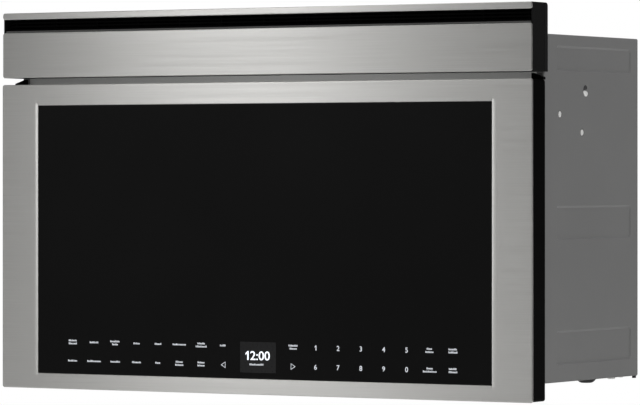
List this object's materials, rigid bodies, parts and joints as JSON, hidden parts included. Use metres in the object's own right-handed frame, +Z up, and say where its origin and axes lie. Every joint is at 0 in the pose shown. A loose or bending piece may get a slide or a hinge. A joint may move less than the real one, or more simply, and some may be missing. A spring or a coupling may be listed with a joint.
{
  "type": "built-in convection microwave",
  "caption": "Wide built-in convection microwave with a drop-down glass door, a vent slot above it and a grey sheet-metal chassis.",
  "frame": {"origin": "centre of the rear face, where the chassis lies against the wall", "axes": "+X to the right seen from the front, +Y into the wall, +Z up"},
  "size_m": [0.756, 0.2844, 0.471],
  "materials": {
    "stainless": "fine horizontal brushing",
    "black_glass": "polished, backed with black paint",
    "clear_glass": "polished",
    "ceramic": "satin glass-ceramic",
    "black_plastic": "moulded, finely grained",
    "dark_plastic": "moulded",
    "white_plastic": "moulded",
    "grey_sheet": "satin grey sheet",
    "dark_sheet": "satin dark grey",
    "enamel": "speckled enamel",
    "zinc_steel": "zinc plated",
    "aluminium": "mill finish",
    "bright_metal": "plated",
    "heater_sheath": "oxidised steel sheath",
    "motor_paint": "lacquered laminations",
    "circuit_board": "solder mask",
    "display": "smoked window",
    "rubber": "moulded"
  },
  "bodies": {
    "root": {"trim_strip": "stainless", "top_panel": "stainless", "vent_housing": "black_plastic", "vent_louvre": "black_plastic", "hinge_brackets": "zinc_steel", "hinge_pins": "zinc_steel", "latch_keepers": "white_plastic", "interlock_switches": "dark_plastic", "release_solenoid": "motor_paint", "front_frame": "stainless", "side_panel_left": "grey_sheet", "side_panel_right": "grey_sheet", "top_cover": "grey_sheet", "cord_gland": "dark_plastic", "base_plate": "grey_sheet", "back_plate": "grey_sheet", "chassis_fasteners": "bright_metal", "base_rubbers": "rubber", "cavity_wrap": "enamel", "cavity_floor": "enamel", "cavity_rear": "enamel", "floor_plate": "ceramic", "waveguide": "aluminium", "stirrer_motor": "motor_paint", "magnetron": "aluminium", "convection_chamber": "zinc_steel", "convection_motor": "motor_paint", "convection_heater": "heater_sheath", "broil_element": "heater_sheath", "element_clips": "zinc_steel", "lamp_lens": "clear_glass", "lamp_cup": "aluminium", "lamp_bulb": "clear_glass", "probe_socket": "bright_metal", "temperature_sensor": "bright_metal", "blower_housing": "dark_plastic", "blower_motor": "motor_paint", "inverter": "circuit_board", "control_board": "circuit_board", "line_filter": "circuit_board", "thermal_cutouts": "aluminium"},
    "door": {"door_frame": "stainless", "door_glass": "black_glass", "door_shell": "black_plastic", "door_corner_guides": "black_plastic", "door_choke": "dark_sheet", "choke_cover": "dark_plastic", "window_screen": "dark_sheet", "inner_glass": "clear_glass", "touch_board": "circuit_board", "display_module": "display", "hinge_plates": "zinc_steel", "hinge_cartridges": "zinc_steel"},
    "latch": {"latch_shaft": "zinc_steel", "latch_hooks": "dark_plastic"},
    "release_plunger": {"release_plunger": "zinc_steel"},
    "switch_plungers": {"switch_plungers": "white_plastic"},
    "stirrer": {"stirrer": "aluminium"},
    "convection_fan": {"convection_fan": "zinc_steel"},
    "blower_wheel": {"blower_wheel": "dark_plastic"}
  },
  "joints": [
    {"name": "door_hinge", "type": "hinge", "parent": "root", "child": "door", "pos_m": [0, -0.2609, -0.2159], "axis": [1, 0, 0], "range_deg": [0, 90], "stiffness_Nm_per_rad": 8, "springref_deg": -17.19},
    {"name": "latch_turn", "type": "hinge", "parent": "door", "child": "latch", "pos_m": [0, -0.2589, 0.1441], "axis": [1, 0, 0], "range_deg": [0, 10]},
    {"name": "release_slide", "type": "slide", "parent": "root", "child": "release_plunger", "axis": [0, 0, 1], "range_m": [0, 0.0046]},
    {"name": "switch_slide", "type": "slide", "parent": "root", "child": "switch_plungers", "axis": [0, 0, 1], "range_m": [0, 0.0015]},
    {"name": "stirrer_spin", "type": "hinge", "parent": "root", "child": "stirrer", "pos_m": [0, -0.12855, -0.1619], "axis": [0, 0, 1], "continuous": true},
    {"name": "convection_fan_spin", "type": "hinge", "parent": "root", "child": "convection_fan", "pos_m": [-0.27, -0.12905, -0.0209], "axis": [1, 0, 0], "continuous": true},
    {"name": "blower_spin", "type": "hinge", "parent": "root", "child": "blower_wheel", "pos_m": [0.28, -0.1209, 0.0171], "axis": [1, 0, 0], "continuous": true}
  ],
  "couplings": [
    {"joint": "release_slide", "follows": "latch_turn", "m_per_rad": 0.02635},
    {"joint": "switch_slide", "follows": "latch_turn", "m_per_rad": 0.00859}
  ]
}
